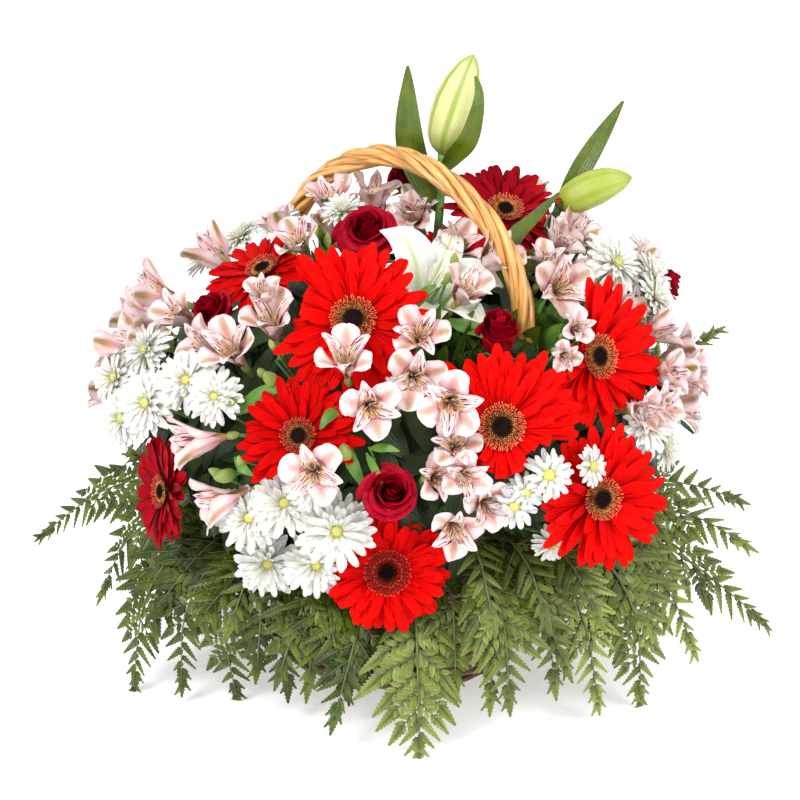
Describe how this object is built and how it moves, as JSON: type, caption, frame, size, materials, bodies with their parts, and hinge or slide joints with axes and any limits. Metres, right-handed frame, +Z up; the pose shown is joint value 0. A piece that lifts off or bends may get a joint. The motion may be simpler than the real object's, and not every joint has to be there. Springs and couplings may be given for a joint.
{
  "type": "flower basket arrangement",
  "caption": "Woven willow basket with a twisted bow handle, filled with gerberas, roses, lilies, alstroemerias and spray chrysanthemums over trailing leather fern.",
  "frame": {"origin": "centre of the basket's flat base, on the surface it rests on", "axes": "+Z up out of the basket, -Y towards the front of the arrangement, +X to the right seen from the front"},
  "size_m": [0.6035, 0.5001, 0.4881],
  "materials": {
    "willow_wall": "matte",
    "willow_rim": "satin",
    "willow_handle": "satin",
    "liner_plastic": "satin",
    "wet_foam": "matte",
    "gerbera_scarlet": "matte",
    "gerbera_crimson": "matte",
    "gerbera_eye": "matte",
    "rose_red": "matte",
    "lily_white": "satin",
    "lily_bud_green": "satin",
    "lily_leaf_green": "satin",
    "alstroemeria_pink": "satin",
    "chrysanthemum_white": "matte",
    "fern_green": "satin"
  },
  "bodies": {
    "root": {"basket_bowl": "willow_wall", "basket_rim": "willow_rim", "basket_handle": "willow_handle", "liner": "liner_plastic", "foam": "wet_foam", "gerbera_eye_1": "gerbera_eye", "gerbera_eye_2": "gerbera_eye", "gerbera_eye_3": "gerbera_eye", "gerbera_eye_4": "gerbera_eye", "gerbera_eye_5": "gerbera_eye", "gerbera_eye_6": "gerbera_eye", "gerbera_eye_7": "gerbera_eye", "gerbera_eye_8": "gerbera_eye", "gerbera_eye_9": "gerbera_eye", "gerbera_eye_10": "gerbera_eye", "gerbera_1": "gerbera_scarlet", "gerbera_2": "gerbera_scarlet", "gerbera_3": "gerbera_scarlet", "gerbera_4": "gerbera_scarlet", "gerbera_5": "gerbera_scarlet", "gerbera_6": "gerbera_scarlet", "gerbera_7": "gerbera_crimson", "gerbera_8": "gerbera_scarlet", "gerbera_9": "gerbera_crimson", "gerbera_10": "gerbera_scarlet", "rose_1": "rose_red", "rose_2": "rose_red", "rose_3": "rose_red", "rose_4": "rose_red", "rose_5": "rose_red", "rose_6": "rose_red", "lily_flower": "lily_white", "lily_bud_1": "lily_bud_green", "lily_stalk_1": "lily_leaf_green", "lily_bud_2": "lily_bud_green", "lily_stalk_2": "lily_leaf_green", "alstroemeria_1": "alstroemeria_pink", "alstroemeria_2": "alstroemeria_pink", "alstroemeria_3": "alstroemeria_pink", "alstroemeria_4": "alstroemeria_pink", "alstroemeria_5": "alstroemeria_pink", "alstroemeria_6": "alstroemeria_pink", "alstroemeria_7": "alstroemeria_pink", "alstroemeria_8": "alstroemeria_pink", "alstroemeria_9": "alstroemeria_pink", "alstroemeria_10": "alstroemeria_pink", "alstroemeria_11": "alstroemeria_pink", "chrysanthemum_1": "chrysanthemum_white", "chrysanthemum_2": "chrysanthemum_white", "chrysanthemum_3": "chrysanthemum_white", "chrysanthemum_4": "chrysanthemum_white", "chrysanthemum_5": "chrysanthemum_white", "chrysanthemum_6": "chrysanthemum_white", "chrysanthemum_7": "chrysanthemum_white", "fern_1": "fern_green", "fern_2": "fern_green", "fern_3": "fern_green", "fern_4": "fern_green", "fern_5": "fern_green", "fern_6": "fern_green"}
  },
  "joints": []
}
